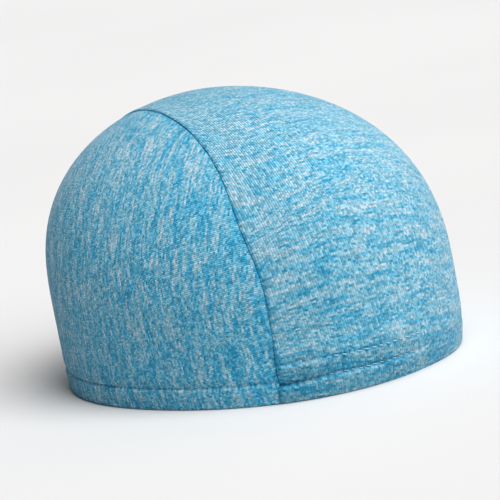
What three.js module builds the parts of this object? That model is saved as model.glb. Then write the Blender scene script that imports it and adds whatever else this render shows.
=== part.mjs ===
// Stretch knit cycling skull cap, standing on its hem. Millimetres, +Z up, the floor is z = 0.
// The forehead faces -Y and the wearer's right side is -X.
import * as THREE from 'three';

// Overall size
const HALF_WIDTH = 77;
const BROW_REACH = 104.3;
const NAPE_REACH = 88.4;
const CROWN_HEIGHT = 122.9;
const CROWN_Y = (BROW_REACH - NAPE_REACH) / 2;
const OVAL_POWER = 2.1;

// How each side rises: it is widest at that height, a larger round keeps it full for longer above
// it, and tuck is the share of its reach that is drawn in again at the floor.
const FLANK = { reach: HALF_WIDTH, widest: 42.8, round: 2, tuck: 0.012 };
const BROW = { reach: BROW_REACH, widest: 17.2, round: 2.96, tuck: 0.02 };
const NAPE = { reach: NAPE_REACH, widest: 54.8, round: 2.2, tuck: 0.02 };

// Cloth
const WALL = 1.2;
const HEM_WALL = 2.4;
const HEM_EDGE_ROUND = 0.45;
const SEAM_RIDGE = 0.4;
const PANEL_INSET = 0.17;

// The turned hem, a row for each level: how far the outside puffs or sinks, and how deep the
// cloth is. The two dips are the stitch rows, and the turned edge ends above the upper one.
const HEM_ROWS = [
  { z: 0, puff: -HEM_EDGE_ROUND, depth: HEM_WALL - HEM_EDGE_ROUND },
  { z: 0.6, puff: 0, depth: HEM_WALL },
  { z: 4.6, puff: 0.35, depth: HEM_WALL },
  { z: 8.4, puff: 0.1, depth: HEM_WALL },
  { z: 9.8, puff: -0.35, depth: HEM_WALL },
  { z: 11.2, puff: 0.1, depth: HEM_WALL },
  { z: 13.6, puff: 0.35, depth: HEM_WALL },
  { z: 16.1, puff: 0.05, depth: HEM_WALL },
  { z: 17.5, puff: -0.3, depth: HEM_WALL },
  { z: 18.6, puff: 0, depth: HEM_WALL },
];
const HEM_TOP = 19.6;

// The front panel is a tongue that runs from the forehead over the crown. Its half width stays
// near TONGUE_HALF, then falls at a steady rate for each degree of turn about the hub.
const TONGUE_HALF = 58.5;
const TONGUE_FALL = 0.68;
const TONGUE_BEND = 44.2;
const TONGUE_BEND_SPREAD = 10;

// Mesh density
const FRONT_COLUMNS = 20;
const SIDE_COLUMNS = 26;
const UPPER_ROWS = 22;
const LONGEST_RAY = 260;
const HALVINGS = 44;
const NORMAL_STEP = 0.01;

const CLOTH = { color: 0x78b4d8, roughness: 0.85, metalness: 0 };
const HUB = new THREE.Vector3(0, CROWN_Y, HEM_TOP);

// Reach of one side at a height
function reachAt(side, z) {
  if (z <= side.widest) {
    const below = (side.widest - z) / side.widest;
    return side.reach * (1 - side.tuck * below ** 2);
  }
  const up = Math.min(1, (z - side.widest) / (CROWN_HEIGHT - side.widest));
  return side.reach * Math.sqrt(1 - up ** side.round);
}

function isInside(point) {
  if (point.z >= CROWN_HEIGHT) return false;
  const across = Math.abs(point.x) / reachAt(FLANK, point.z);
  const lengthwise = point.y - CROWN_Y;
  const along = Math.abs(lengthwise) / reachAt(lengthwise < 0 ? BROW : NAPE, point.z);
  return across ** OVAL_POWER + along ** OVAL_POWER < 1;
}

// Where a ray from inside the cap meets its smooth outer form
function castOut(start, direction) {
  let near = 0;
  let far = LONGEST_RAY;
  for (let i = 0; i < HALVINGS; i += 1) {
    const middle = (near + far) / 2;
    if (isInside(start.clone().addScaledVector(direction, middle))) near = middle;
    else far = middle;
  }
  return start.clone().addScaledVector(direction, near);
}

// The same point with the form's outward normal there, level within the hem
function skinAt(start, direction, level) {
  const point = castOut(start, direction);
  const sideways = new THREE.Vector3(-direction.y, direction.x, 0);
  if (sideways.lengthSq() < 1e-6) sideways.set(1, 0, 0);
  sideways.normalize();
  const upwards = new THREE.Vector3().crossVectors(direction, sideways);
  const turned = (axis) => direction.clone().addScaledVector(axis, NORMAL_STEP).normalize();
  const aside = castOut(start, turned(sideways)).sub(point);
  const above = castOut(start, turned(upwards)).sub(point);
  const normal = new THREE.Vector3().crossVectors(aside, above);
  if (normal.dot(direction) < 0) normal.negate();
  if (level) normal.z = 0;
  return { point, normal: normal.normalize() };
}

// Half width of the front panel at a turn about the hub, 0 degrees at the forehead
function tongueHalf(turn) {
  const past = turn - TONGUE_BEND;
  return TONGUE_HALF - TONGUE_FALL * (past + Math.hypot(past, TONGUE_BEND_SPREAD)) / 2;
}

// The turn at which the tongue has narrowed to a half width: tongueHalf solved for the turn
function turnAtHalf(half) {
  const drop = (TONGUE_HALF - half) / TONGUE_FALL;
  return TONGUE_BEND + drop - TONGUE_BEND_SPREAD ** 2 / (4 * drop);
}

// A point of the skin at a distance x from the middle, turned about the hub from the forehead
function skinAtTurn(x, turn) {
  const angle = THREE.MathUtils.degToRad(turn);
  const start = new THREE.Vector3(x, HUB.y, HUB.z);
  return skinAt(start, new THREE.Vector3(0, -Math.cos(angle), Math.sin(angle)), false);
}

// A point of the skin at a level within the hem, at a distance x from the middle of the forehead
function skinAtLevel(x, z) {
  return skinAt(new THREE.Vector3(x, HUB.y, z), new THREE.Vector3(0, -1, 0), true);
}

// Outside and inside points of a place on the skin
function layers(skin, puff, depth) {
  return {
    outside: skin.point.clone().addScaledVector(skin.normal, puff),
    inside: skin.point.clone().addScaledVector(skin.normal, -depth),
  };
}

const MEETING_TURN = turnAtHalf(0);

function frontPanelRows() {
  const rows = [];
  const ridge = (share) => SEAM_RIDGE * Math.max(0, 1 - (1 - Math.abs(share)) * FRONT_COLUMNS / 2);
  const shares = Array.from({ length: FRONT_COLUMNS + 1 }, (_, i) => 2 * i / FRONT_COLUMNS - 1);
  const hemHalf = tongueHalf(0) - PANEL_INSET;
  for (const { z, puff, depth } of HEM_ROWS) {
    rows.push(shares.map((share) => layers(skinAtLevel(share * hemHalf, z), puff + ridge(share), depth)));
  }
  for (let row = 0; row < UPPER_ROWS; row += 1) {
    const turn = MEETING_TURN * row / UPPER_ROWS;
    const half = tongueHalf(turn) - PANEL_INSET;
    rows.push(shares.map((share) => layers(skinAtTurn(share * half, turn), ridge(share), WALL)));
  }
  rows.push([layers(skinAtTurn(0, turnAtHalf(PANEL_INSET)), SEAM_RIDGE, WALL)]);
  return rows;
}

// The side panel on +X. Each row runs from the front seam round the ear to the seam at the back,
// and the rows draw together at the point where the three panels meet.
function sidePanelRows() {
  const rows = [];
  const shares = Array.from({ length: SIDE_COLUMNS + 1 }, (_, i) => i / SIDE_COLUMNS);
  const bearing = (point) => Math.atan2(point.y - HUB.y, point.x);
  const hemStart = bearing(skinAtLevel(tongueHalf(0) + PANEL_INSET, HEM_TOP).point);
  const hemEnd = Math.PI / 2 - PANEL_INSET / NAPE_REACH;
  const hemPoint = (share, z) => {
    const angle = hemStart + (hemEnd - hemStart) * share;
    const direction = new THREE.Vector3(Math.cos(angle), Math.sin(angle), 0);
    return skinAt(new THREE.Vector3(0, HUB.y, z), direction, true);
  };
  const seamEnd = (z) => skinAtLevel(tongueHalf(0) + PANEL_INSET, z);
  const backEnd = (z) => skinAt(new THREE.Vector3(PANEL_INSET, HUB.y, z), new THREE.Vector3(0, 1, 0), true);
  const levelPoint = (share, z) => {
    if (share === 0) return seamEnd(z);
    if (share === 1) return backEnd(z);
    return hemPoint(share, z);
  };
  for (const { z, puff, depth } of HEM_ROWS) {
    rows.push(shares.map((share) => layers(levelPoint(share, z), puff, depth)));
  }
  const seam = (turn) => skinAtTurn(tongueHalf(turn) + PANEL_INSET, turn).point;
  const back = (turn) => skinAtTurn(PANEL_INSET, turn).point;
  const spread = shares.map((share) => {
    const straight = seam(0).lerp(back(180), share);
    return levelPoint(share, HEM_TOP).point.sub(straight);
  });
  for (let row = 0; row < UPPER_ROWS; row += 1) {
    const rise = row / UPPER_ROWS;
    const seamPoint = seam(MEETING_TURN * rise);
    const backPoint = back(180 - (180 - MEETING_TURN) * rise);
    rows.push(shares.map((share, i) => {
      const aim = seamPoint.clone().lerp(backPoint, share).addScaledVector(spread[i], 1 - rise);
      return layers(skinAt(HUB, aim.sub(HUB).normalize(), false), 0, WALL);
    }));
  }
  rows.push([layers(skinAtTurn(PANEL_INSET, MEETING_TURN), 0, WALL)]);
  return rows;
}

// Closes a panel's rows into one solid. The last row is the single point where the panel ends.
function panelGeometry(rows, mirrored) {
  const positions = [];
  const columns = rows[0].length - 1;
  const last = rows.length - 1;
  for (const layer of ['outside', 'inside']) {
    for (const row of rows) {
      for (const place of row) {
        const { x, y, z } = place[layer];
        positions.push(mirrored ? -x : x, y, z);
      }
    }
  }
  const layerSize = positions.length / 6;
  const at = (layer, row, column) => layer * layerSize + row * (columns + 1) + (row === last ? 0 : column);
  const triangles = [];
  const quad = (a, b, c, d) => {
    for (const corners of [[a, b, c], [a, c, d]]) {
      if (new Set(corners).size === 3) triangles.push(mirrored ? corners.reverse() : corners);
    }
  };
  for (let row = 0; row < last; row += 1) {
    for (let column = 0; column < columns; column += 1) {
      quad(at(0, row, column), at(0, row, column + 1), at(0, row + 1, column + 1), at(0, row + 1, column));
      quad(at(1, row, column), at(1, row + 1, column), at(1, row + 1, column + 1), at(1, row, column + 1));
    }
    quad(at(0, row, 0), at(0, row + 1, 0), at(1, row + 1, 0), at(1, row, 0));
    quad(at(0, row, columns), at(1, row, columns), at(1, row + 1, columns), at(0, row + 1, columns));
  }
  for (let column = 0; column < columns; column += 1) {
    quad(at(0, 0, column), at(1, 0, column), at(1, 0, column + 1), at(0, 0, column + 1));
  }
  const geometry = new THREE.BufferGeometry();
  geometry.setAttribute('position', new THREE.Float32BufferAttribute(positions, 3));
  geometry.setIndex(triangles.flat());
  geometry.computeVertexNormals();
  return geometry;
}

function panel(name, rows, mirrored = false) {
  const mesh = new THREE.Mesh(panelGeometry(rows, mirrored), new THREE.MeshStandardMaterial(CLOTH));
  mesh.name = name;
  return mesh;
}

const cap = new THREE.Group();
cap.name = 'cycling_skull_cap';
cap.add(panel('front_panel', frontPanelRows()));
cap.add(panel('side_panel_left', sidePanelRows()));
cap.add(panel('side_panel_right', sidePanelRows(), true));

export default cap;
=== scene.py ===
"""Looks of a stretch knit cycling skull cap: three panels of melange jersey with a turned, stitched
hem, the threads on it, a pale floor, soft lights and the camera. Sizes here are in millimetres."""
import math

import bpy
import numpy as np
from mathutils import Matrix, Vector

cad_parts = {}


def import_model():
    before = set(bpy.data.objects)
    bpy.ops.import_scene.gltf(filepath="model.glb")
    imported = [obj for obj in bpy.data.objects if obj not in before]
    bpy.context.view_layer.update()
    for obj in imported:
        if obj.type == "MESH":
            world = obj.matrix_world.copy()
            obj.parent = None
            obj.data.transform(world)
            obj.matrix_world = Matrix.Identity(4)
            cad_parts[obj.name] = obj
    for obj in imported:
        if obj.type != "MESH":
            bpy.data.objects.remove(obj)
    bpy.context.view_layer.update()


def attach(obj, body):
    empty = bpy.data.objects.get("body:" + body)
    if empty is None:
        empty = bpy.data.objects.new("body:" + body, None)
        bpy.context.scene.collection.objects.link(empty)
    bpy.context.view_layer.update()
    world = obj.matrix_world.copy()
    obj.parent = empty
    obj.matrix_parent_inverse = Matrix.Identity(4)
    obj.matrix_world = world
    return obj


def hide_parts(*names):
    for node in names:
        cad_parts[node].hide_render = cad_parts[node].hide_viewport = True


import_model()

MM = 0.001
BODY = "root"

# Form of the head: forehead at -Y, wearer's right at -X, floor at z = 0
HALF_WIDTH = 77.0
BROW_REACH = 104.3
NAPE_REACH = 88.4
CROWN_HEIGHT = 122.9
CROWN_Y = (BROW_REACH - NAPE_REACH) / 2
OVAL_POWER = 2.1
# How far each side reaches, at which level, how roundly it meets the crown, and its tuck below
FLANK = dict(reach=HALF_WIDTH, widest=42.8, round=2.0, tuck=0.012)
BROW = dict(reach=BROW_REACH, widest=17.2, round=2.96, tuck=0.02)
NAPE = dict(reach=NAPE_REACH, widest=54.8, round=2.2, tuck=0.02)
LONGEST_RAY = 260.0
HALVINGS = 40
NORMAL_STEP = 0.01

# Cloth
WALL = 1.2
HEM_WALL = 2.4
HEM_TOP = 19.6
HEM_FOLD_TOP = 18.6
HEM_EDGE_ROUND = 0.9
PANEL_INSET = 0.02
SEAM_ALLOWANCE = 5.0
ALLOWANCE_WALL = 1.1
RAW_EDGE_ROUND = 0.4

# Front panel: a tongue that narrows from a half width at a steady rate over the crown. The turn is
# the angle in degrees from straight ahead, up over the crown and down the back
TONGUE_HALF = 58.5
TONGUE_FALL = 0.68
TONGUE_BEND = 44.2
TONGUE_BEND_SPREAD = 10.0
# Slope of its edges and the turns between which it comes in, and the cloth's length per degree
TONGUE_SLANT = (0.41, 35, 65)
FRONT_PER_TURN = 1.75

# Side panels: length along the hem, and height from the hem to where the seams meet
SIDE_LENGTH = 205.0
SIDE_HEIGHT = 150.0

# Stitch rows above the floor, and the length that one stitch takes
LOWER_ROW = 9.8
UPPER_ROW = 17.5
STITCH_PITCH = 3.3

# The knit: millimetres for each wale and course in each panel
FRONT_WALE, FRONT_COURSE = 1.02, 0.78
SIDE_WALE, SIDE_COURSE = 0.825, 0.85

# The other side panel is cut from another stretch of the same cloth, this many wales and courses on
OTHER_CUT = (0, 410)

SEED = 20
random = np.random.default_rng(SEED)


# Small tools

def unit(vectors):
    return vectors / np.linalg.norm(vectors, axis=-1, keepdims=True)


def bump(value, centre, spread):
    return np.exp(-((value - centre) / spread) ** 2)


def smooth_step(value, low, high):
    share = np.clip((value - low) / (high - low), 0, 1)
    return share * share * (3 - 2 * share)


def come_in(value, amount, low, high):
    """An amount that comes in between a low and a high value."""
    return amount * smooth_step(value, low, high)


def eased(value, start, changes):
    """A start value, with each change added as it comes in."""
    result = np.full(np.shape(value), float(start))
    for change in changes:
        result = result + come_in(value, *change)
    return result


def lengths_along(line):
    """Length from the start of a line of points to each of them."""
    return np.concatenate([[0], np.cumsum(np.linalg.norm(np.diff(line, axis=0), axis=1))])


def points_between(places, known, points):
    """Points at places, taken between the points that are known."""
    return np.stack([np.interp(places, known, points[:, i]) for i in range(3)], 1)


# Form

def reach_at(side, z):
    below = np.clip((side["widest"] - z) / side["widest"], 0, None)
    up = np.clip((z - side["widest"]) / (CROWN_HEIGHT - side["widest"]), 0, 1)
    lower = 1 - side["tuck"] * below ** 2
    upper = np.sqrt(1 - up ** side["round"])
    return side["reach"] * np.where(z <= side["widest"], lower, upper)


def is_inside(points):
    x, y, z = points[:, 0], points[:, 1] - CROWN_Y, points[:, 2]
    z = np.minimum(z, CROWN_HEIGHT - 1e-9)
    along = np.where(y < 0, reach_at(BROW, z), reach_at(NAPE, z))
    oval = (np.abs(x) / reach_at(FLANK, z)) ** OVAL_POWER + (np.abs(y) / along) ** OVAL_POWER
    return (oval < 1) & (points[:, 2] < CROWN_HEIGHT)


def cast_out(start, direction):
    """Where rays from inside the cap meet its smooth outer form."""
    near = np.zeros(len(start))
    far = np.full(len(start), LONGEST_RAY)
    for _ in range(HALVINGS):
        middle = (near + far) / 2
        inside = is_inside(start + direction * middle[:, None])
        near = np.where(inside, middle, near)
        far = np.where(inside, far, middle)
    return start + direction * near[:, None]


def skin(start, direction, level=None):
    """Points of the form and its outward normals there, level ones where level is true."""
    start, direction = np.atleast_2d(start), unit(np.atleast_2d(direction))
    point = cast_out(start, direction)
    flat = np.stack([-direction[:, 1], direction[:, 0], np.zeros(len(direction))], 1)
    flat[np.linalg.norm(flat, axis=1) < 1e-3] = (1, 0, 0)
    sideways = unit(flat)
    upwards = np.cross(direction, sideways)
    aside = cast_out(start, unit(direction + sideways * NORMAL_STEP)) - point
    above = cast_out(start, unit(direction + upwards * NORMAL_STEP)) - point
    normal = np.cross(aside, above)
    normal *= np.sign((normal * direction).sum(1, keepdims=True))
    if level is not None:
        normal[level, 2] = 0
    return point, unit(normal)


def tongue_half(turn):
    past = turn - TONGUE_BEND
    return TONGUE_HALF - TONGUE_FALL * (past + np.hypot(past, TONGUE_BEND_SPREAD)) / 2


def turn_at_half(half):
    drop = (TONGUE_HALF - half) / TONGUE_FALL
    return TONGUE_BEND + drop - TONGUE_BEND_SPREAD ** 2 / (4 * drop)


MEETING_TURN = turn_at_half(0)
HUB = np.array([0.0, CROWN_Y, HEM_TOP])


def turn_ray(x, turn):
    """Start and direction of the ray that meets the skin at a distance x from the middle plane."""
    x, turn = np.broadcast_arrays(np.asarray(x, float), np.radians(turn))
    start = np.stack([x, np.full(x.shape, HUB[1]), np.full(x.shape, HUB[2])], -1)
    direction = np.stack([np.zeros(x.shape), -np.cos(turn), np.sin(turn)], -1)
    return start.reshape(-1, 3), direction.reshape(-1, 3)


# Grain: the wale and course numbers that the material draws its loops by

# How the grain's slopes change up a panel: a first value, then each change's amount and the
# lengths between which it comes, from the hem's top for the first two and else from the floor
FRONT_WALE_SLOPE = (-0.10, [(0.40, 0, 137)])
FRONT_COURSE_FALL = (0.04, [(0.12, 20, 60), (0.27, 75, 115)])
FRONT_COURSE_RATE = (0.78, [(0.22, 60, 95)])
SIDE_LEAN = (0.08, [(-0.05, 40, 60), (0.12, 75, 105)])
SUM_STEPS = 500

# Wales close up where the panel narrows, and where the head turns away at the sides
NARROWING_POWER = 0.19
LEAST_NARROWING = 0.08
TURNING_AWAY = 0.53e-4
# Higher up, the courses swing square to the seams, within a reach of them
SWING_START = 50
SWING_CLIMB = 90
MOST_SWING = 1.1
SWING_REACH = 15.0

# On the sides the grain starts to follow the back's spine at the first y, and does so at the second
BACK_TURN = 20.0
BACK_FULL = 75.0
# The wales' slope there, how it twists with height, and how they bow
SIDE_SLOPE = 0.084
SIDE_TWIST = 0.0033
SIDE_BOW = 0.0012
LINE_POINTS = 200
ARC_POINTS = 60


def total(slope, rise):
    """The integral of a slope along a rise that starts at 0, taken at each point."""
    line = np.linspace(0, max(rise.max(), 1), SUM_STEPS)
    values = eased(line, *slope)
    sums = np.concatenate([[0], np.cumsum((values[1:] + values[:-1]) / 2 * np.diff(line))])
    return np.interp(rise, line, sums)


def front_grain(x, rise, half):
    """The cloth is pulled a little askew, and higher up its courses swing square to the seams."""
    above = np.maximum(rise - HEM_TOP, 0)
    below = np.minimum(rise - HEM_TOP, 0)
    narrowing = np.maximum(half / TONGUE_HALF, LEAST_NARROWING) ** NARROWING_POWER
    askew = total(FRONT_WALE_SLOPE, above) + FRONT_WALE_SLOPE[0] * below
    wale = (x - askew) / narrowing + TURNING_AWAY * x ** 3
    swing = np.clip((above - SWING_START) / SWING_CLIMB, 0, MOST_SWING) ** 2
    hang = (np.exp(-np.maximum(half + x, 0) / SWING_REACH)
            + np.exp(-np.maximum(half - x, 0) / SWING_REACH))
    course = total(FRONT_COURSE_RATE, rise) + eased(above, *FRONT_COURSE_FALL) * x
    return wale / FRONT_WALE, (course - swing * SWING_REACH * hang) / FRONT_COURSE


def side_grain(point):
    """Wales run level round the head, and courses climb it, leaning back as they rise."""
    x, y, z = np.abs(point[:, 0]), point[:, 1], point[:, 2]
    angle = np.linspace(0, math.pi / 2, LINE_POINTS)
    rib_start = np.tile([0.0, 0.0, HEM_TOP], (LINE_POINTS, 1))
    rib_line = cast_out(rib_start, np.stack([np.cos(angle), 0 * angle, np.sin(angle)], 1))
    spine_start = np.tile(HUB, (LINE_POINTS, 1))
    spine = cast_out(spine_start, np.stack([0 * angle, np.cos(angle), np.sin(angle)], 1))
    over = np.interp(np.arctan2(z - HEM_TOP, x), angle, HEM_TOP + lengths_along(rib_line))
    behind = np.interp(z, spine[:, 2], HEM_TOP + lengths_along(spine))
    back = smooth_step(y, BACK_TURN, BACK_FULL)
    up = np.where(z < HEM_TOP, z, over * (1 - back) + behind * back)
    # Round the back, the way along is the arc of the level section
    far = np.maximum(y, BACK_TURN)
    reach_x, reach_y = reach_at(FLANK, z), reach_at(NAPE, z)
    steps = BACK_TURN + (far - BACK_TURN)[None] * np.linspace(0, 1, ARC_POINTS)[:, None] ** 0.5
    share = np.clip((steps - CROWN_Y) / np.maximum(reach_y, 1), -1, 1)
    width = reach_x * np.clip(1 - np.abs(share) ** OVAL_POWER, 0, 1) ** (1 / OVAL_POWER)
    arc = np.hypot(np.diff(width, axis=0), np.diff(steps, axis=0)).sum(0)
    along = -(np.minimum(y, BACK_TURN) + arc)
    ahead = np.maximum(along, -BACK_TURN)
    wale = up - SIDE_SLOPE * along - SIDE_TWIST * ahead * up - SIDE_BOW * ahead ** 2
    course = along + total(SIDE_LEAN, up)
    return wale / SIDE_WALE, course / SIDE_COURSE


# Relief of the outside, in millimetres along the normal

HEM_PROFILE = [
    # level, height on the front panel, what the pull of a seam adds to it there, height on the sides
    (0.0, -0.45, 0.00, -0.05),
    (2.0, -0.10, 0.20, 0.15),
    (5.6, 0.60, 0.55, 0.38),
    (8.3, 0.75, 0.70, 0.34),
    (LOWER_ROW, -1.15, -0.95, -0.80),
    (11.2, -0.35, -0.15, 0.00),
    (13.4, -0.05, 0.75, 0.22),
    (15.9, 0.42, 1.15, 0.18),
    (UPPER_ROW, 0.22, 0.00, 0.00),
    (18.7, 0.52, 0.25, 0.06),
    (20.6, 0.62, 0.35, 0.10),
    (29.0, 0.00, 0.00, 0.00),
]
SEAM_PULL_AT = 3.0
SEAM_PULL_REACH = 9.0
# Each stitch slants, so both rows climb in little stairs, and the sides' cloth by a share of them
STAIR = 0.75
SIDE_STAIR = 0.6
PUCKERS = [
    # wavelength along the hem, height, phase
    (5.1, 0.08, 1.9),
    (8.7, 0.12, 4.1),
    (17.0, 0.10, 2.2),
]
SIDE_PUCKERS = 0.6
PUCKERED_ROWS = [
    # level, share of the puckers there, reach above and below
    (LOWER_ROW, 1.0, 4.0),
    (UPPER_ROW, 0.8, 3.5),
]
# Where a seam gathers the front hem, the cloth puffs out between the stitches
PUFF_HEIGHT = 0.34
PUFF_AT = 9
PUFF_REACH = 11
PUFFED_ROWS = [
    # level, share of the puffs' height there, reach above and below
    (15.8, 1.0, 1.6),
    (8.0, 0.6, 2.2),
]
# Forms of the front hem that fade along it from a place, and upward between two levels: at the
# seam the lower row dips and the turned edge sinks in, and across the forehead the edge tucks under
SEAM_DIP = dict(amount=1.5, at=1, reach=8, low=9, high=16)
SEAM_HOLLOW = dict(amount=0.35, at=0, reach=4.5, low=6, high=11)
TUCK = dict(amount=2.4, at=-4, reach=30, low=-2, high=16)
# Changes along the hem, each with the lengths between which it comes in: the rows' pull slackens,
# comes back in part at the left, and the seams gather the hem less
SLACK = (0.92, -18, 10)
LEFT_PULL = (0.3, 44, 56)
LESS_GATHERED = (0.85, -10, 10)
RING_POINTS = 721


def level_ring(z, count):
    """Bearings, starts and directions of level rays right round the cap, from the back."""
    bearing = np.linspace(-math.pi, math.pi, count)
    start = np.tile([0.0, CROWN_Y, z], (count, 1))
    return bearing, start, np.stack([np.sin(bearing), -np.cos(bearing), np.zeros(count)], 1)


RING_BEARING, *RING_RAYS = level_ring((LOWER_ROW + UPPER_ROW) / 2, RING_POINTS)
RING_ARC = lengths_along(cast_out(*RING_RAYS))
RING_ARC -= RING_ARC[RING_POINTS // 2]


def profile(levels, heights, z):
    """A smooth line through heights at levels, flat at each of them."""
    height = np.full(z.shape, float(heights[0]))
    for low, high, start, end in zip(levels[:-1], levels[1:], heights[:-1], heights[1:]):
        height += (end - start) * smooth_step(z, low, high)
    return height


def hem_arc(point):
    """Length along the hem from the middle of the forehead, positive on the wearer's left."""
    return np.interp(np.arctan2(point[:, 0], CROWN_Y - point[:, 1]), RING_BEARING, RING_ARC)


def stair(arc):
    """How far above its level a row lies at a place along the hem: it drops along each stitch."""
    turn = 2 * math.pi * arc / STITCH_PITCH
    return STAIR * (np.sin(turn) + 0.5 * np.sin(2 * turn)) / math.pi


def slackened(arc):
    """How much of the rows' pull is left: from mid forehead to near the left seam the hem lies smooth."""
    return 1 - come_in(arc, *SLACK) * (1 - come_in(arc, *LEFT_PULL))


def gathered(arc):
    """How much a seam gathers the hem beside it: the wearer's right far more than the left."""
    return 1 - come_in(arc, *LESS_GATHERED)


def fading(form, along, z, scale=1.0):
    """Height of one of the front hem's forms, scaled."""
    beside = form["amount"] * scale * bump(along, form["at"], form["reach"])
    return beside * (1 - smooth_step(z, form["low"], form["high"]))


def hem_relief(z, arc, front, to_seam):
    levels, on_front, pulled, on_side = map(np.array, zip(*HEM_PROFILE))
    at_rows = z - stair(arc) * (1.0 if front else SIDE_STAIR)
    if front:
        at_rows = at_rows + fading(SEAM_DIP, to_seam, z, gathered(arc))
        relief = profile(levels, on_front, at_rows) * slackened(arc)
        pull = profile(levels, pulled, at_rows) * gathered(arc)
        relief += pull * bump(to_seam, SEAM_PULL_AT, SEAM_PULL_REACH)
    else:
        relief = profile(levels, on_side, at_rows)
    ripple = sum(h * np.sin(2 * math.pi * arc / wave + phase) for wave, h, phase in PUCKERS)
    near_rows = sum(share * bump(z, row, reach) for row, share, reach in PUCKERED_ROWS)
    relief += ripple * near_rows * (slackened(arc) if front else SIDE_PUCKERS)
    if front:
        waves = -np.cos(2 * math.pi * arc / STITCH_PITCH)
        puffs = waves * PUFF_HEIGHT * gathered(arc) * bump(to_seam, PUFF_AT, PUFF_REACH)
        relief += puffs * sum(share * bump(z, row, reach) for row, share, reach in PUFFED_ROWS)
        relief -= fading(SEAM_HOLLOW, to_seam, z, gathered(arc))
        relief -= fading(TUCK, arc, z)
    edge = np.clip((HEM_EDGE_ROUND - z) / HEM_EDGE_ROUND, 0, 1)
    return relief - HEM_EDGE_ROUND * (1 - np.sqrt(1 - edge ** 2))


# Seams, by distance from them: a groove's depth and width, and how high or low the cloth lies
# beside it, and between which distances that ends
GROOVE, GROOVE_WIDTH = -0.38, 0.18
FRONT_ROLL, FRONT_ROLL_AT, FRONT_ROLL_WIDTH = 0.20, 1.3, 1.3
FRONT_RISE, FRONT_RISE_ENDS = 0.14, (3, 6.5)
SIDE_SINK, SIDE_SINK_ENDS = -0.13, (0.3, 4)
BACK_GROOVE, BACK_GROOVE_WIDTH = -0.80, 0.34
BACK_SINK, BACK_SINK_ENDS = -0.25, (0.3, 3)


def seam_relief(distance, front):
    """The front panel's edge rides up over the allowance, and both edges roll into the seam."""
    groove = GROOVE * bump(distance, 0, GROOVE_WIDTH)
    if front:
        groove = groove + FRONT_ROLL * bump(distance, FRONT_ROLL_AT, FRONT_ROLL_WIDTH)
        return groove + FRONT_RISE * (1 - smooth_step(distance, *FRONT_RISE_ENDS))
    return groove + SIDE_SINK * (1 - smooth_step(distance, *SIDE_SINK_ENDS))


def back_seam_relief(distance):
    """At the centre back both edges roll evenly into a wider groove."""
    groove = BACK_GROOVE * bump(distance, 0, BACK_GROOVE_WIDTH)
    return groove + BACK_SINK * (1 - smooth_step(distance, *BACK_SINK_ENDS))


def hem_depth(z):
    """Thickness inwards: two layers up to the turned hem's raw edge, and one above it."""
    above = smooth_step(z, HEM_FOLD_TOP - RAW_EDGE_ROUND, HEM_FOLD_TOP)
    return WALL + (HEM_WALL - WALL) * (1 - above)


def allowance_depth(distance):
    """What a seam's allowance adds to the thickness near it."""
    past = smooth_step(distance, SEAM_ALLOWANCE - RAW_EDGE_ROUND, SEAM_ALLOWANCE)
    return ALLOWANCE_WALL * (1 - past)


# Panels as grids: every row holds the same columns, and the last row is one point

EDGE_STEP = 0.15
FINE_STEP = 0.35
FRINGE = 7.0
ROW_STEP = 1.5
FRONT_STEP = 0.75
SIDE_STEP = 1.0
# The levels are close together over the rounded edge, then even
HEM_EDGE_LEVELS = [0, 0.08, 0.25, 0.5, 0.8]
HEM_STEP = 0.32
HEM_LEVELS = np.concatenate([HEM_EDGE_LEVELS, np.arange(1.2, HEM_TOP - 0.1, HEM_STEP)])


def spaced(length, step):
    """Places from 0 to a length, close together near 0, wider beyond the fringe."""
    places = [0.0, EDGE_STEP]
    while places[-1] < length - 1e-6:
        near = min(places[-1] / FRINGE, 1)
        places.append(places[-1] + FINE_STEP + (step - FINE_STEP) * near ** 2)
    places = np.array(places)
    return places * length / places[-1]


def grid_skin(hem, upper, tip):
    """Points and normals where the rays of a grid's hem, its upper rows and its tip meet the form."""
    start, direction = (np.concatenate(rays) for rays in zip(hem, upper, tip))
    return skin(start, direction, np.arange(len(start)) < len(hem[0]))


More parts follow.
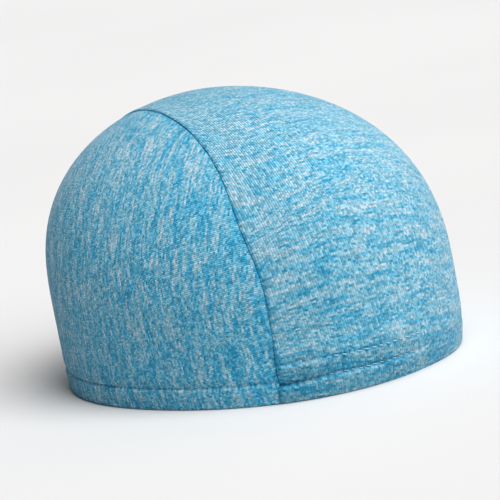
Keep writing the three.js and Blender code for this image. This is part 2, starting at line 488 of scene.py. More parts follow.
def front_grid():
    half = spaced(float(tongue_half(0)), FRONT_STEP)
    shares = np.concatenate([half / half[-1] - 1, (1 - half / half[-1])[::-1][1:]])
    columns = len(shares)
    # The hem's rows are level, and the rows above it turn over the crown
    hem_half = tongue_half(0) - PANEL_INSET
    hem_share, z = np.meshgrid(shares, HEM_LEVELS)
    start = np.stack([hem_share * hem_half, np.full(z.shape, HUB[1]), z], -1).reshape(-1, 3)
    hem = (start, np.tile([0.0, -1.0, 0.0], (len(start), 1)))
    count = round(MEETING_TURN * FRONT_PER_TURN / ROW_STEP)
    upper_share, turn = np.meshgrid(shares, MEETING_TURN * np.arange(count) / count)
    upper = turn_ray(upper_share * (tongue_half(turn) - PANEL_INSET), turn)
    point, normal = grid_skin(hem, upper, turn_ray([0.0], [turn_at_half(PANEL_INSET)]))
    rows = len(HEM_LEVELS) + count
    turn_all = np.concatenate([np.zeros(hem_share.size), turn.ravel(), [MEETING_TURN]])
    across = np.concatenate([hem_share.ravel(), upper_share.ravel(), [0.0]])
    # Length up the middle of the panel from the floor
    middle = point[np.append(np.arange(rows) * columns + columns // 2, len(point) - 1)]
    row_rise = lengths_along(middle)
    rise = row_rise[np.append(np.repeat(np.arange(rows), columns), rows)]
    half_here = np.maximum(tongue_half(turn_all), 0)
    wale, course = front_grain(point[:, 0], rise, half_here)
    slant = np.cos(np.arctan(come_in(turn_all, *TONGUE_SLANT)))
    to_seam = (1 - np.abs(across)) * half_here * slant
    relief = seam_relief(to_seam, True) + hem_relief(point[:, 2], hem_arc(point), True, to_seam)
    depth = hem_depth(point[:, 2]) + allowance_depth(to_seam)
    return dict(rows=rows, columns=columns, point=point, normal=normal, relief=relief, depth=depth,
                wale=wale, course=course, to_seam=to_seam, rise=rise / row_rise[-1])


def level_rays(share, bearing, z, hem_seam):
    """Level rays to a side panel's points, with its two end columns exactly beside their seams."""
    start = np.stack([np.zeros(z.shape), np.full(z.shape, HUB[1]), z], -1)
    direction = np.stack([np.cos(bearing), np.sin(bearing), np.zeros(z.shape)], -1)
    start[share == 0, 0] = hem_seam
    direction[share == 0] = (0, -1, 0)
    start[share == 1, 0] = PANEL_INSET
    direction[share == 1] = (0, 1, 0)
    return start.reshape(-1, 3), direction.reshape(-1, 3)


def distance_to(line, point):
    """Distance of each point from a line of points."""
    gap = np.full(len(point), np.inf)
    for a, b in zip(line[:-1], line[1:]):
        along = np.clip(((point - a) @ (b - a)) / ((b - a) @ (b - a)), 0, 1)
        gap = np.minimum(gap, np.linalg.norm(point - a - along[:, None] * (b - a), axis=1))
    return gap


def side_grid():
    """The wearer's left side panel, from the front seam round to the centre back."""
    half = spaced(SIDE_LENGTH / 2, SIDE_STEP)
    shares = np.concatenate([half, (SIDE_LENGTH - half)[::-1][1:]]) / SIDE_LENGTH
    columns = len(shares)
    hem_seam = tongue_half(0) + PANEL_INSET
    corner = skin([[hem_seam, HUB[1], HEM_TOP]], [[0, -1, 0]])[0][0]
    first = math.atan2(corner[1] - HUB[1], corner[0])
    last = math.pi / 2 - PANEL_INSET / NAPE_REACH
    share, z = np.meshgrid(shares, HEM_LEVELS)
    hem = level_rays(share, first + (last - first) * share, z, hem_seam)
    # Above the hem, rows run between points of the front seam and of the centre back
    count = round(SIDE_HEIGHT / ROW_STEP)
    climb = np.arange(count) / count
    seam_turn = MEETING_TURN * climb
    back_turn = 180 - (180 - MEETING_TURN) * climb
    seam = skin(*turn_ray(tongue_half(seam_turn) + PANEL_INSET, seam_turn))[0]
    back = skin(*turn_ray(np.full(count, PANEL_INSET), back_turn))[0]
    top_level = np.full(shares.shape, HEM_TOP)
    top_line = skin(*level_rays(shares, first + (last - first) * shares, top_level, hem_seam))[0]
    spread = top_line - (seam[0] + (back[0] - seam[0]) * shares[:, None])
    aim = seam[:, None] + (back - seam)[:, None] * shares[None, :, None]
    aim = aim + spread[None] * (1 - climb)[:, None, None]
    outward = (aim - HUB).reshape(-1, 3)
    upper = (np.tile(HUB, (len(outward), 1)), outward)
    point, normal = grid_skin(hem, upper, turn_ray([PANEL_INSET], [MEETING_TURN]))
    rows = len(HEM_LEVELS) + count
    grid = point[:-1].reshape(rows, columns, 3)
    to_front = distance_to(np.concatenate([grid[::2, 0], point[-1:]]), point)
    to_back = distance_to(np.concatenate([grid[::2, -1], point[-1:]]), point)
    relief = hem_relief(point[:, 2], hem_arc(point), False, to_front)
    relief += seam_relief(to_front, False) + back_seam_relief(to_back)
    depth = hem_depth(point[:, 2]) + allowance_depth(to_back)
    wale, course = side_grain(point)
    rise = np.append(np.repeat(np.arange(rows) / rows, columns), 1.0)
    return dict(rows=rows, columns=columns, point=point, normal=normal, relief=relief, depth=depth,
                wale=wale, course=course, to_seam=np.minimum(to_front, to_back), rise=rise)


def new_object(name, vertices, faces, material):
    mesh = bpy.data.meshes.new(name)
    mesh.from_pydata((np.asarray(vertices) * MM).tolist(), [], faces)
    mesh.polygons.foreach_set("use_smooth", np.ones(len(mesh.polygons), bool))
    mesh.materials.append(material)
    mesh.update()
    piece = bpy.data.objects.new(name, mesh)
    bpy.context.scene.collection.objects.link(piece)
    return piece


def shell_quads(rows, columns, count):
    """Quads of a panel's outside, inside, left edge, right edge and hem edge, by vertex numbers."""
    index = np.concatenate([np.arange(rows * columns).reshape(rows, columns),
                            np.full((1, columns), rows * columns)])
    a, b = index[:-1, :-1].ravel(), index[:-1, 1:].ravel()
    c, d = index[1:, 1:].ravel(), index[1:, :-1].ravel()
    outer = np.stack([a, b, c, d], 1)
    inner = np.stack([a, d, c, b], 1) + count
    low, high = index[:-1, 0], index[1:, 0]
    left = np.stack([low, high, high + count, low + count], 1)
    low, high = index[:-1, -1], index[1:, -1]
    right = np.stack([low, low + count, high + count, high], 1)
    near, far = index[0, :-1], index[0, 1:]
    hem = np.stack([near, near + count, far + count, far], 1)
    return outer, inner, left, right, hem


# The bake layout: the outside, the inside above it, and a strip for each edge above them. Each
# has its lowest place, and the first two their height
BAKE_MARGIN = 0.004
BAKE_OUTSIDE = (0.004, 0.636)
BAKE_INSIDE = (0.652, 0.290)
LEFT_STRIP = 0.950
RIGHT_STRIP = 0.964
HEM_STRIP = 0.978
STRIP_DEPTH = 0.008
STRIP_LENGTH = 0.99
STRIP_MARGIN = 0.005


def bake_places(grid):
    """Places in the bake layout of a grid's points, outside and inside."""
    column_of = np.append(np.tile(np.linspace(0, 1, grid["columns"]), grid["rows"]), 0.5)
    across = BAKE_MARGIN + (1 - 2 * BAKE_MARGIN) * column_of
    return [np.stack([across, low + high * grid["rise"]], 1)
            for low, high in (BAKE_OUTSIDE, BAKE_INSIDE)]


def panel(name, node, grid, material, mirrored=False):
    """Closes a grid's outside and inside into one shell of cloth."""
    outside = grid["point"] + grid["normal"] * grid["relief"][:, None]
    inside = grid["point"] - grid["normal"] * grid["depth"][:, None]
    vertices = np.concatenate([outside, inside])
    count = len(outside)
    outer, inner, left, right, hem = shell_quads(grid["rows"], grid["columns"], count)
    bake_at = bake_places(grid)
    grain_at = np.stack([grid["wale"], grid["course"]], 1)
    if mirrored:
        vertices = vertices * (-1, 1, 1)
        grain_at = grain_at + OTHER_CUT
    # Each row: quads, their strip in the bake layout, and which two corners are further along it
    groups = ((outer, None, None), (inner, None, None), (left, LEFT_STRIP, (1, 2)),
              (right, RIGHT_STRIP, (2, 3)), (hem, HEM_STRIP, (2, 3)))
    faces, grain, edge, bake = [], [], [], []
    for quads, strip, further in groups:
        for place, quad in enumerate(quads.tolist()):
            corners = list(dict.fromkeys(quad))
            if mirrored:
                corners = corners[::-1]
            faces.append(corners)
            for corner in corners:
                layer, vertex = divmod(corner, count)
                grain.append(grain_at[vertex])
                edge.append((grid["to_seam"][vertex], 0.0))
                if strip is None:
                    bake.append(bake_at[layer][vertex])
                    continue
                step = place + (corner in [quad[k] for k in further])
                bake.append((step / len(quads) * STRIP_LENGTH + STRIP_MARGIN,
                             strip + STRIP_DEPTH * layer))
    piece = new_object(name, vertices, faces, material)
    for layer_name, places in (("OFBake", bake), ("grain", grain), ("edge", edge)):
        layer = piece.data.uv_layers.new(name=layer_name)
        layer.data.foreach_set("uv", np.asarray(places, float).ravel())
    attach(piece, BODY)
    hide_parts(node)
    return piece


# Threads

THREAD_TIP = 0.45


def tube(path, radius, sides=6):
    """Vertices and faces of a closed tube with tapered ends along a path."""
    path = np.asarray(path, float)
    tangent = unit(np.gradient(path, axis=0))
    side = np.cross(tangent, (0.0, 0.0, 1.0))
    weak = np.linalg.norm(side, axis=1) < 1e-3
    side[weak] = np.cross(tangent[weak], (1.0, 0.0, 0.0))
    side = unit(side)
    other = np.cross(tangent, side)
    radii = np.full(len(path), radius)
    radii[0] = radii[-1] = radius * THREAD_TIP
    angles = (np.arange(sides) * 2 * math.pi / sides)[None, :, None]
    ring = np.cos(angles) * side[:, None] + np.sin(angles) * other[:, None]
    vertices = (path[:, None] + ring * radii[:, None, None]).reshape(-1, 3)
    faces = []
    for row in range(len(path) - 1):
        for k in range(sides):
            a, b = row * sides + k, row * sides + (k + 1) % sides
            faces.append([a, a + sides, b + sides, b])
    faces.append(list(range(sides)))
    faces.append([len(vertices) - 1 - k for k in range(sides)])
    return vertices, faces


def on_other_side(part):
    vertices, faces = part
    return vertices * (-1, 1, 1), [face[::-1] for face in faces]


def joined(name, parts, material):
    vertices, faces = [], []
    offset = 0
    for part_vertices, part_faces in parts:
        vertices.append(part_vertices)
        faces += [[index + offset for index in face] for face in part_faces]
        offset += len(part_vertices)
    piece = new_object(name, np.concatenate(vertices), faces, material)
    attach(piece, BODY)
    return piece


def hem_ring(z, count=1400):
    """Points and normals right round the hem at one level, with the arc and relief at each."""
    point, normal = skin(*level_ring(z, count)[1:], np.full(count, True))
    arc = hem_arc(point)
    from_seam = tongue_half(0) - np.abs(point[:, 0])
    on_front = (from_seam > 0) & (point[:, 1] < CROWN_Y)
    level = z + stair(arc)
    front_relief = hem_relief(level, arc, True, from_seam)
    side_relief = hem_relief(level, arc, False, from_seam)
    return dict(point=point, normal=normal, arc=arc, on_front=on_front,
                relief=np.where(on_front, front_relief, side_relief))


STITCH_RADIUS = 0.27
STITCH_POINTS = 9
# Share of the pitch that a stitch shows, and how much its place, level and thickness vary
STITCH_REACH = (0.54, 0.68)
STITCH_SHIFT = 0.03
STITCH_RISE = 0.12
STITCH_THICKNESS = (0.9, 1.1)
# Height of a stitch's middle over the cloth: proud on the forehead, drawn in elsewhere
PROUD, DRAWN_IN = 0.66, -0.26
END_DIP = 0.8
# Next to a seam the thread dips under the panel's edge, and further on it comes out
CLEAR_OF_SEAM = 2.4
COMES_OUT = (9, 22)


def hem_stitches(material):
    parts = []
    share = np.linspace(0, 1, STITCH_POINTS)
    for z in (LOWER_ROW, UPPER_ROW):
        ring = hem_ring(z)
        surface = ring["point"] + ring["normal"] * ring["relief"][:, None]
        first = math.ceil(ring["arc"][0] / STITCH_PITCH)
        for k in range(first, math.floor(ring["arc"][-1] / STITCH_PITCH)):
            reach = random.uniform(*STITCH_REACH)
            shift = random.uniform(-STITCH_SHIFT, STITCH_SHIFT)
            places = (k + 0.5 + (share - 0.5) * reach + shift) * STITCH_PITCH
            path = points_between(places, ring["arc"], surface)
            centre = STITCH_POINTS // 2
            from_seam = TONGUE_HALF - abs(path[centre, 0])
            if abs(from_seam) < CLEAR_OF_SEAM and path[centre, 1] < CROWN_Y:
                continue
            shown = np.interp(places[centre], ring["arc"], ring["on_front"])
            shown = shown * slackened(places[centre]) ** 2
            shown *= smooth_step(from_seam, *COMES_OUT)
            middle = DRAWN_IN + (PROUD - DRAWN_IN) * shown
            lift = middle - END_DIP * np.abs(share * 2 - 1) ** 4
            outward = points_between(places, ring["arc"], ring["normal"])
            path = path + outward * lift[:, None]
            path[:, 2] += STAIR * (0.5 - share) * reach + random.uniform(-STITCH_RISE, STITCH_RISE)
            parts.append(tube(path, STITCH_RADIUS * random.uniform(*STITCH_THICKNESS)))
    return joined("hem_stitches", parts, material)


LOOPER_RADIUS = 0.17
LOOPER_END_GAP = 0.8
LOOPER_THREADS = [
    # phase, height over the inside
    (0.0, 0.22),
    (0.5, 0.34),
]


def hem_loopers(material):
    """The cover thread that crosses between the stitch rows on the inside."""
    low, high = hem_ring(LOWER_ROW), hem_ring(UPPER_ROW)
    count = int((low["arc"][-1] - low["arc"][0]) / STITCH_PITCH) * 2
    steps = np.arange(count * 4 + 1) / 4
    length = low["arc"][-1] - low["arc"][0] - LOOPER_END_GAP
    arc = low["arc"][0] + steps / count * length
    outward = points_between(arc, low["arc"], low["normal"])
    on_low = points_between(arc, low["arc"], low["point"])
    on_high = points_between(arc, high["arc"], high["point"])
    parts = []
    for phase, lift in LOOPER_THREADS:
        swing = (0.5 + 0.5 * np.sin((steps + phase) * math.pi))[:, None]
        place = on_low * (1 - swing) + on_high * swing
        parts.append(tube(place - outward * (HEM_WALL + lift), LOOPER_RADIUS, sides=5))
    return joined("hem_loopers", parts, material)


LADDER_PITCH = 2.3
LADDER_RADIUS = 0.17
LADDER_REACH = 0.6
LADDER_POINTS = 7
LADDER_LIFT = -0.34
LADDER_END_DIP = 0.4
LADDER_SHIFT = 0.12
LADDER_SLANT = (0.3, 0.6)
LADDER_THICKNESS = (0.9, 1.15)
# Steps left out at the top, where the seams meet
LADDER_LEFT_OUT = 3


def ladder(grid, mirrored):
    """Short threads that cross a seam between its panels, seen at the bottom of the groove."""
    shape = (grid["rows"], grid["columns"], 3)
    edge = grid["point"][:-1].reshape(shape)[len(HEM_LEVELS):, -1]
    normal = grid["normal"][:-1].reshape(shape)[len(HEM_LEVELS):, -1]
    length = lengths_along(edge)
    share = np.linspace(-1, 1, LADDER_POINTS)
    parts = []
    for k in range(round(length[-1] / LADDER_PITCH) - LADDER_LEFT_OUT):
        middle = (k + 0.5 + random.uniform(-LADDER_SHIFT, LADDER_SHIFT)) * LADDER_PITCH
        places = points_between(np.array([middle - 0.5, middle, middle + 0.5]), length, edge)
        outward = unit(points_between(np.array([middle]), length, normal)[0])
        ahead = unit(places[2] - places[0])
        across = np.cross(ahead, outward)
        slant = random.uniform(*LADDER_SLANT)
        lift = LADDER_LIFT - LADDER_END_DIP * share ** 4
        path = places[1] + LADDER_REACH * share[:, None] * (across + ahead * slant)
        path = path + outward * lift[:, None]
        part = tube(path, LADDER_RADIUS * random.uniform(*LADDER_THICKNESS), sides=5)
        parts.append(on_other_side(part) if mirrored else part)
    return parts


OVERLOCK_PITCH = 2.4
OVERLOCK_RADIUS = 0.16
OVERLOCK_NEAR = 0.8
PAST_RAW_EDGE = 0.3
OVERLOCK_LANES = 10
OVERLOCK_START = 2.0
OVERLOCK_END = 12.0
# Height over the inside beside the seam, and as much again for the thread that lies on top
OVERLOCK_LIFT = 0.10
OVERLOCK_STEPS = 6


def allowance_strip(grid, last_column, reaches):
    """Points and inward directions of a panel's inside at distances from one of its seams."""
    shape = (grid["rows"], grid["columns"], 3)
    inside = (grid["point"] - grid["normal"] * grid["depth"][:, None])[:-1].reshape(shape)
    inward = -grid["normal"][:-1].reshape(shape)
    if last_column:
        inside, inward = inside[:, ::-1], inward[:, ::-1]
    places, directions = [], []
    for row, row_inward in zip(inside, inward):
        across = lengths_along(row)
        places.append(points_between(reaches, across, row))
        directions.append(points_between(reaches, across, row_inward))
    return np.array(places), np.array(directions)


def overlock(grid, last_column, mirrored):
    """Two threads that zigzag over a seam allowance, from beside the seam round its raw edge."""
    reaches = np.linspace(OVERLOCK_NEAR, SEAM_ALLOWANCE + PAST_RAW_EDGE, OVERLOCK_LANES)
    place, inward = allowance_strip(grid, last_column, reaches)
    climb = lengths_along(place[:, 0])
    steps = np.arange(OVERLOCK_START, climb[-1] - OVERLOCK_END, OVERLOCK_PITCH / OVERLOCK_STEPS)
    row = np.interp(steps, climb, np.arange(len(climb)))
    low = np.minimum(row.astype(int), len(climb) - 2)
    share = (row - low)[:, None]
    parts = []
    for phase in (0.0, math.pi):
        swing = 0.5 + 0.5 * np.sin(steps / OVERLOCK_PITCH * 2 * math.pi + phase)
        lane = np.round(swing * (len(reaches) - 1)).astype(int)
        path = place[low, lane] * (1 - share) + place[low + 1, lane] * share
        lift = OVERLOCK_LIFT + OVERLOCK_LIFT * (phase > 0) - OVERLOCK_LIFT * swing
        path = path + inward[low, lane] * lift[:, None]
        part = tube(path, OVERLOCK_RADIUS, sides=5)
        parts.append(on_other_side(part) if mirrored else part)
    return parts


# Materials

# How much of the way from blue to white each pattern moves the yarn's shade
YARN_CHANGE = 1.35
PATCH_CHANGE = 1.0
LOOP_CHANGE = 0.28
FIBRE_CHANGE = 0.30
# How much loops and fibres differ in brightness
LOOP_LIGHT = 0.50
FIBRE_LIGHT = 0.95
# Noise patterns: how fast each changes along the wales and along the courses, and its roughness
YARN_STEP, YARN_ROUGHNESS = 3.17, 0.6
PATCH = (0.038, 0.26, 0.6)
FIBRE = (0.95, 0.85, 0.7)
PALE_RUN = (0.05, 0.83, 0.7)
# Values of the last pattern at which a yarn starts to turn pale, and is palest
PALE_BETWEEN = (0.52, 0.74)
# How far the rows wander, in courses, and how soon
WANDER, WANDER_SCALE = 3.0, 0.055
# A loop across its wale: where its sides start to fall, and the valley between its legs
LEG_FALL = (0.16, 0.50)
VALLEY = (0.0, 0.12)
VALLEY_DEPTH = -0.22
LEG_SLANT = 1.5
LINK_DEPTH = 0.12
SHALLOW_BETWEEN = (0.0, 0.85)
# Painted shade in the gap between two wales: what it keeps of each colour, bluer there rather than grey
PAINTED_GAP_SHADE = (0.44, 0.75, 0.83)
KNIT_BUMP = 0.45
# Linear colours of the yarn, from clear blue to greyish white: it is the red that changes most
YARN = [
    (0.00, (0.014, 0.272, 0.480)),
    (0.25, (0.058, 0.340, 0.520)),
    (0.42, (0.131, 0.394, 0.540)),
    (0.60, (0.218, 0.440, 0.552)),
    (1.00, (0.425, 0.517, 0.590)),
]
PLY_SCALE = 2600.0
TONE_SCALE = 60.0
THREAD_BUMP = 0.1


class Nodes:
    """Short calls for building a material's node tree."""

    def __init__(self, name):
        self.material = bpy.data.materials.new(name)
        self.material.use_nodes = True
        self.tree = self.material.node_tree
        self.tree.nodes.clear()
        self.shader = self.add("ShaderNodeBsdfPrincipled")
        output = self.add("ShaderNodeOutputMaterial")
        self.link(self.shader.outputs[0], output.inputs["Surface"])

    def add(self, kind, **settings):
        node = self.tree.nodes.new(kind)
        for key, value in settings.items():
            setattr(node, key, value)
        return node

    def link(self, source, socket):
        self.tree.links.new(source, socket)

    def feed(self, socket, value):
        if isinstance(value, bpy.types.NodeSocket):
            self.link(value, socket)
        else:
            socket.default_value = value

    def set(self, name, value):
        self.feed(self.shader.inputs[name], value)

    def math(self, operation, a, b=0.0, c=0.0, clamp=False):
        node = self.add("ShaderNodeMath", operation=operation, use_clamp=clamp)
        for socket, value in zip(node.inputs, (a, b, c)):
            self.feed(socket, value)
        return node.outputs[0]

    def times(self, a, b):
        return self.math("MULTIPLY", a, b)

    def times_plus(self, a, b, c, clamp=False):
        return self.math("MULTIPLY_ADD", a, b, c, clamp)

    def centred(self, value):
        return self.math("SUBTRACT", value, 0.5)

    def inverse(self, value):
        return self.math("SUBTRACT", 1.0, value)

    def vector(self, x, y=0.0, z=0.0):
        node = self.add("ShaderNodeCombineXYZ")
        for socket, value in zip(node.inputs, (x, y, z)):
            self.feed(socket, value)
        return node.outputs[0]

    def uv_layer(self, name):
        """A layer's place, and its two coordinates."""
        place = self.add("ShaderNodeUVMap", uv_map=name).outputs[0]
        split = self.add("ShaderNodeSeparateXYZ")
        self.link(place, split.inputs[0])
        return place, split.outputs[0], split.outputs[1]

    def noise(self, place, scale=1.0, detail=2.0, roughness=0.5, dimensions="2D"):
        node = self.add("ShaderNodeTexNoise", noise_dimensions=dimensions)
        self.feed(node.inputs["Vector"], place)
        node.inputs["Scale"].default_value = scale
        node.inputs["Detail"].default_value = detail
        node.inputs["Roughness"].default_value = roughness
        return node.outputs["Fac"]

    def pattern(self, wale, course, by_wale, by_course, roughness):
        """Noise that changes at one rate along the wales and at another along the courses."""
        place = self.vector(self.times(wale, by_wale), self.times(course, by_course))
        return self.noise(place, roughness=roughness)

    def white(self, place):
        node = self.add("ShaderNodeTexWhiteNoise", noise_dimensions="2D")
        self.feed(node.inputs["Vector"], place)
        return node.outputs["Value"]

    def ramp(self, value, stops):
        node = self.add("ShaderNodeValToRGB")
        self.feed(node.inputs[0], value)
        elements = node.color_ramp.elements
        while len(elements) < len(stops):
            elements.new(0.5)
        for element, (place, colour) in zip(elements, stops):
            element.position = place
            element.color = (*colour, 1)
        return node.outputs[0]

    def mix(self, share, a, b, blend="MIX"):
        node = self.add("ShaderNodeMix", data_type="RGBA", blend_type=blend)
        self.feed(node.inputs[0], share)
        self.feed(node.inputs[6], a)
        self.feed(node.inputs[7], b)
        return node.outputs[2]

    def between(self, value, low, high):
        node = self.add("ShaderNodeMapRange", clamp=True)
        self.feed(node.inputs[0], value)
        node.inputs[1].default_value = low
        node.inputs[2].default_value = high
        return node.outputs[0]

    def bump(self, height, strength, distance):
        node = self.add("ShaderNodeBump")
        node.inputs["Strength"].default_value = strength
        node.inputs["Distance"].default_value = distance * MM
        self.link(height, node.inputs["Height"])
        self.set("Normal", node.outputs[0])


def yarn_and_light_at(n, climbed, yarn_and_light):
    """The mean shade, rib depth and painted brightness at a height, from the rows of a table of yarn and
    painted light.
    """
    places, *columns = zip(*yarn_and_light)
    values = yarn_and_light[0][1:]
    for k in range(len(yarn_and_light) - 1):
        share = n.between(climbed, places[k], places[k + 1])
        values = [n.times_plus(share, column[k + 1] - column[k], value)
                  for column, value in zip(columns, values)]
    return values


def loop_height(n, wale, course):
    """A loop's two legs slant to a shallow V, with a deep gap to the next wale."""
    apart = n.math("ABSOLUTE", n.centred(n.math("FRACT", wale)))
    full = n.inverse(n.between(apart, *LEG_FALL))
    valley = n.inverse(n.between(apart, *VALLEY))
    legs = n.times_plus(valley, VALLEY_DEPTH, full)
    climb = n.math("ADD", course, n.times(apart, LEG_SLANT))
    wave = n.math("COSINE", n.times(climb, 2 * math.pi))
    link_wave = n.times_plus(wave, 0.5, 0.5)
    linked = n.times_plus(link_wave, LINK_DEPTH, 1 - LINK_DEPTH)
    return n.times(n.math("MAXIMUM", legs, 0.0), linked)


def knit_material(name, contrast, breaks, pale_yarn, seam_reach, painted_seam_shade, upward, yarn_and_light):
    """Jersey that changes up its panel, along the grain's axis numbered upward, by a table that also
    holds painted light.

    Contrast is how much the yarn's shade changes, breaks how soon, and pale_yarn what the palest
    runs add to it. Within seam_reach of a seam the yarn is painted bluer and darker, as painted shade in
    and beside the seam's groove, by painted_seam_shade at the seam."""
    n = Nodes(name)
    place, wale, course = n.uv_layer("grain")
    # Rows wander a little, so the streaks aren't ruled lines
    wander = n.times(n.centred(n.noise(place, WANDER_SCALE, 1.0)), WANDER)
    course_bent = n.math("ADD", course, wander)
    row = n.math("FLOOR", course_bent)
    column = n.math("FLOOR", wale)
    # Each row's yarn changes shade along its length; neighbours share broad patches
    yarn = n.pattern(wale, row, breaks, YARN_STEP, YARN_ROUGHNESS)
    patch = n.pattern(wale, course_bent, *PATCH)
    loop = n.centred(n.white(n.vector(column, row)))
    fibre = n.pattern(wale, course, *FIBRE)
    # Here and there one course runs pale for a long way
    pale = n.between(n.pattern(wale, row, *PALE_RUN), *PALE_BETWEEN)
    # Mean shade (partly painted light), rib depth, and a painted brightness up the panel
    level, ribs, light = yarn_and_light_at(n, (wale, course)[upward], yarn_and_light)
    # Painted shade: in and beside a seam's groove the yarn is made bluer and darker
    clear = n.between(n.uv_layer("edge")[1], 0.0, seam_reach)
    level = n.times_plus(n.math("SUBTRACT", clear, 1.0), painted_seam_shade, level)
    shade = n.times(n.centred(yarn), YARN_CHANGE)
    shade = n.math("ADD", shade, n.times(n.centred(patch), PATCH_CHANGE))
    shade = n.times_plus(shade, contrast, level)
    shade = n.times_plus(pale, pale_yarn, shade)
    shade = n.times_plus(loop, LOOP_CHANGE, shade)
    shade = n.times_plus(n.centred(fibre), FIBRE_CHANGE, shade, clamp=True)
    loop_tone_and_light = n.times_plus(loop, LOOP_LIGHT, 1.0)
    loop_tone_and_light = n.times_plus(n.centred(fibre), FIBRE_LIGHT, loop_tone_and_light)
    # Painted light: the brightness from the table
    loop_tone_and_light = n.times(loop_tone_and_light, light)
    colour = n.mix(1.0, n.ramp(shade, YARN), n.vector(loop_tone_and_light, loop_tone_and_light, loop_tone_and_light), "MULTIPLY")
    height = loop_height(n, wale, course_bent)
    # Painted shade in the gaps between wales, as deep as the ribs
    gap = n.times(n.inverse(n.between(height, *SHALLOW_BETWEEN)), ribs)
    colour = n.mix(1.0, colour, n.mix(gap, (1, 1, 1, 1), (*PAINTED_GAP_SHADE, 1)), "MULTIPLY")
    n.set("Base Color", colour)
    n.set("Roughness", n.times_plus(fibre, 0.2, 0.72))
    n.bump(n.times_plus(fibre, 0.25, n.times(height, ribs)), 0.6, KNIT_BUMP)
    n.set("Specular IOR Level", 0.2)
    n.set("Sheen Weight", 0.15)
    n.set("Sheen Roughness", 0.5)
    return n.material


def thread_material(name, dark, light):
    """Spun thread: a fine ply, and a slower change of tone along the row."""
    n = Nodes(name)
    place = n.add("ShaderNodeTexCoord").outputs["Object"]
    ply = n.noise(place, PLY_SCALE, 2.0, 0.6, "3D")
    tone = n.noise(place, TONE_SCALE, 1.0, 0.5, "3D")
    mixed = n.times_plus(ply, 0.6, n.times(tone, 0.4))
    n.set("Base Color", n.ramp(mixed, [(0.25, dark), (0.75, light)]))
    n.set("Roughness", n.times_plus(ply, 0.2, 0.45))
    n.bump(ply, 0.4, THREAD_BUMP)
    return n.material


def floor_material():
    n = Nodes("pale_floor")
    place = n.add("ShaderNodeTexCoord").outputs["Object"]
    patches = n.noise(place, 3.0, 2.0, 0.5, "3D")
    n.set("Base Color", n.ramp(patches, [(0.3, (0.65, 0.65, 0.65)), (0.7, (0.67, 0.67, 0.67))]))
    n.set("Roughness", 0.9)
    n.set("Specular IOR Level", 0.1)
    return n.material


# The cap

# Up each panel, the brightness column is painted light: the front is darker at the hem and lighter at the
# crown, and the sides are lighter overall. The yarn's mean shade is partly the cloth's own whiter and
# bluer patches, and partly painted light: whiter and warmer above, bluer in the shade of the hem and on
# the sides
FRONT_YARN_AND_LIGHT = [
    # course number, the yarn's mean shade (partly painted light), the ribs' depth (which also sets the
    # painted shade between wales), and a painted brightness
    (6, 0.30, 0.36, 0.84),
    (25, 0.41, 0.36, 0.93),
    (85, 0.50, 0.42, 0.96),
    (125, 0.53, 0.95, 1.10),
]
SIDE_YARN_AND_LIGHT = [
    # wale number, the yarn's mean shade (partly painted light), the ribs' depth (which also sets the
    # painted shade between wales), and a painted brightness
    (20, 0.30, 0.72, 1.09),
    (60, 0.35, 0.69, 1.15),
    (100, 0.355, 0.66, 1.17),
    (150, 0.42, 0.58, 1.12),
]

front_knit = knit_material(
    "front_knit", contrast=0.86, breaks=0.165, pale_yarn=0.34, seam_reach=1.2, painted_seam_shade=0.45,
    upward=1, yarn_and_light=FRONT_YARN_AND_LIGHT)
side_knit = knit_material(
    "side_knit", contrast=1.05, breaks=0.21, pale_yarn=0.46, seam_reach=3.5, painted_seam_shade=0.21,
    upward=0, yarn_and_light=SIDE_YARN_AND_LIGHT)
pale_thread = thread_material("pale_thread", (0.180, 0.450, 0.610), (0.330, 0.590, 0.730))
# Dark blue thread: on the outside, the seam's ladder threads are made darker than the cloth as painted
# shade in the seam's groove; the overlock on the inside uses the same thread
blue_thread_and_seam_shade = thread_material("blue_thread_and_seam_shade", (0.045, 0.200, 0.310), (0.095, 0.320, 0.450))

front = front_grid()
side = side_grid()
front_cloth = panel("front_cloth", "front_panel", front, front_knit)
left_cloth = panel("side_cloth_left", "side_panel_left", side, side_knit)
right_cloth = panel("side_cloth_right", "side_panel_right", side, side_knit, mirrored=True)

hem_stitches(pale_thread)
hem_loopers(pale_thread)
joined("seam_ladder", ladder(front, False) + ladder(front, True) + ladder(side, False), blue_thread_and_seam_shade)
joined("overlock_left", overlock(front, True, False) + overlock(side, True, False), blue_thread_and_seam_shade)
joined("overlock_right", overlock(front, False, False) + overlock(side, True, True), blue_thread_and_seam_shade)


# Floor, lights and camera, in metres

FLOOR_HALF = 6.0
SUN_SPREAD = 50
SUNS = [
    # name, direction that its light comes from, strength, colour
    ("key", (1, 0, 1), 0.4, (1.15, 0.95, 0.9)),
    ("front", (0, -1, 1), 2.4, (1.0, 1.0, 1.0)),
    ("top", (0, -0.36, 1), 2.4, (1.0, 1.0, 1.0)),
]
SKY_COLOUR = (0.85, 1, 1.05, 1)
SKY_STRENGTH = 0.03

CAMERA_AZIMUTH = -45.0
CAMERA_ELEVATION = 11.02
CAMERA_ROLL = 9.94
CAMERA_DISTANCE = 1.5
CAMERA_TARGET_HEIGHT = 0.06
AIM_RIGHT = 0.00841
AIM_DOWN = 0.00921
LENS = 244.55
SENSOR = 36.0


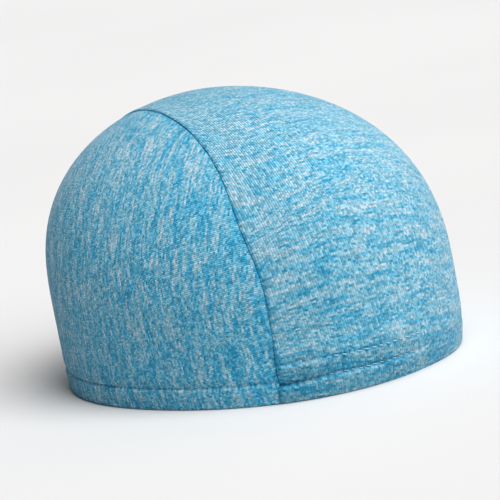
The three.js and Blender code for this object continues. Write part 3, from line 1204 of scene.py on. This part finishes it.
def floor():
    corners = [(x * FLOOR_HALF, y * FLOOR_HALF, 0) for x, y in ((-1, -1), (1, -1), (1, 1), (-1, 1))]
    mesh = bpy.data.meshes.new("floor")
    mesh.from_pydata(corners, [], [(0, 1, 2, 3)])
    mesh.materials.append(floor_material())
    piece = bpy.data.objects.new("floor", mesh)
    bpy.context.scene.collection.objects.link(piece)


def soft_sun(name, comes_from, strength, colour):
    data = bpy.data.lights.new(name, "SUN")
    data.energy = strength
    data.color = colour
    data.angle = math.radians(SUN_SPREAD)
    lamp = bpy.data.objects.new(name, data)
    lamp.rotation_euler = (-Vector(comes_from)).to_track_quat("-Z", "Y").to_euler()
    bpy.context.scene.collection.objects.link(lamp)


def camera():
    azimuth, elevation, roll = map(math.radians, (CAMERA_AZIMUTH, CAMERA_ELEVATION, CAMERA_ROLL))
    back = Vector((math.sin(azimuth) * math.cos(elevation), -math.cos(azimuth) * math.cos(elevation),
                   math.sin(elevation)))
    level = Vector((math.cos(azimuth), math.sin(azimuth), 0))
    up = back.cross(level)
    right = level * math.cos(roll) - up * math.sin(roll)
    above = level * math.sin(roll) + up * math.cos(roll)
    target = Vector((0, CROWN_Y * MM, CAMERA_TARGET_HEIGHT))
    eye = target + back * CAMERA_DISTANCE
    back = (eye - target - right * AIM_RIGHT + above * AIM_DOWN).normalized()
    right = above.cross(back).normalized()
    above = back.cross(right)
    data = bpy.data.cameras.new("camera")
    data.lens = LENS
    data.sensor_width = SENSOR
    lens = bpy.data.objects.new("camera", data)
    lens.matrix_world = Matrix((right, above, back)).transposed().to_4x4()
    lens.location = eye
    bpy.context.scene.collection.objects.link(lens)
    bpy.context.scene.camera = lens


def world():
    sky = bpy.data.worlds.new("studio")
    sky.use_nodes = True
    sky.node_tree.nodes["Background"].inputs[0].default_value = SKY_COLOUR
    sky.node_tree.nodes["Background"].inputs[1].default_value = SKY_STRENGTH
    bpy.context.scene.world = sky


floor()
for sun in SUNS:
    soft_sun(*sun)
camera()
world()
bpy.context.scene.view_settings.view_transform = "Standard"
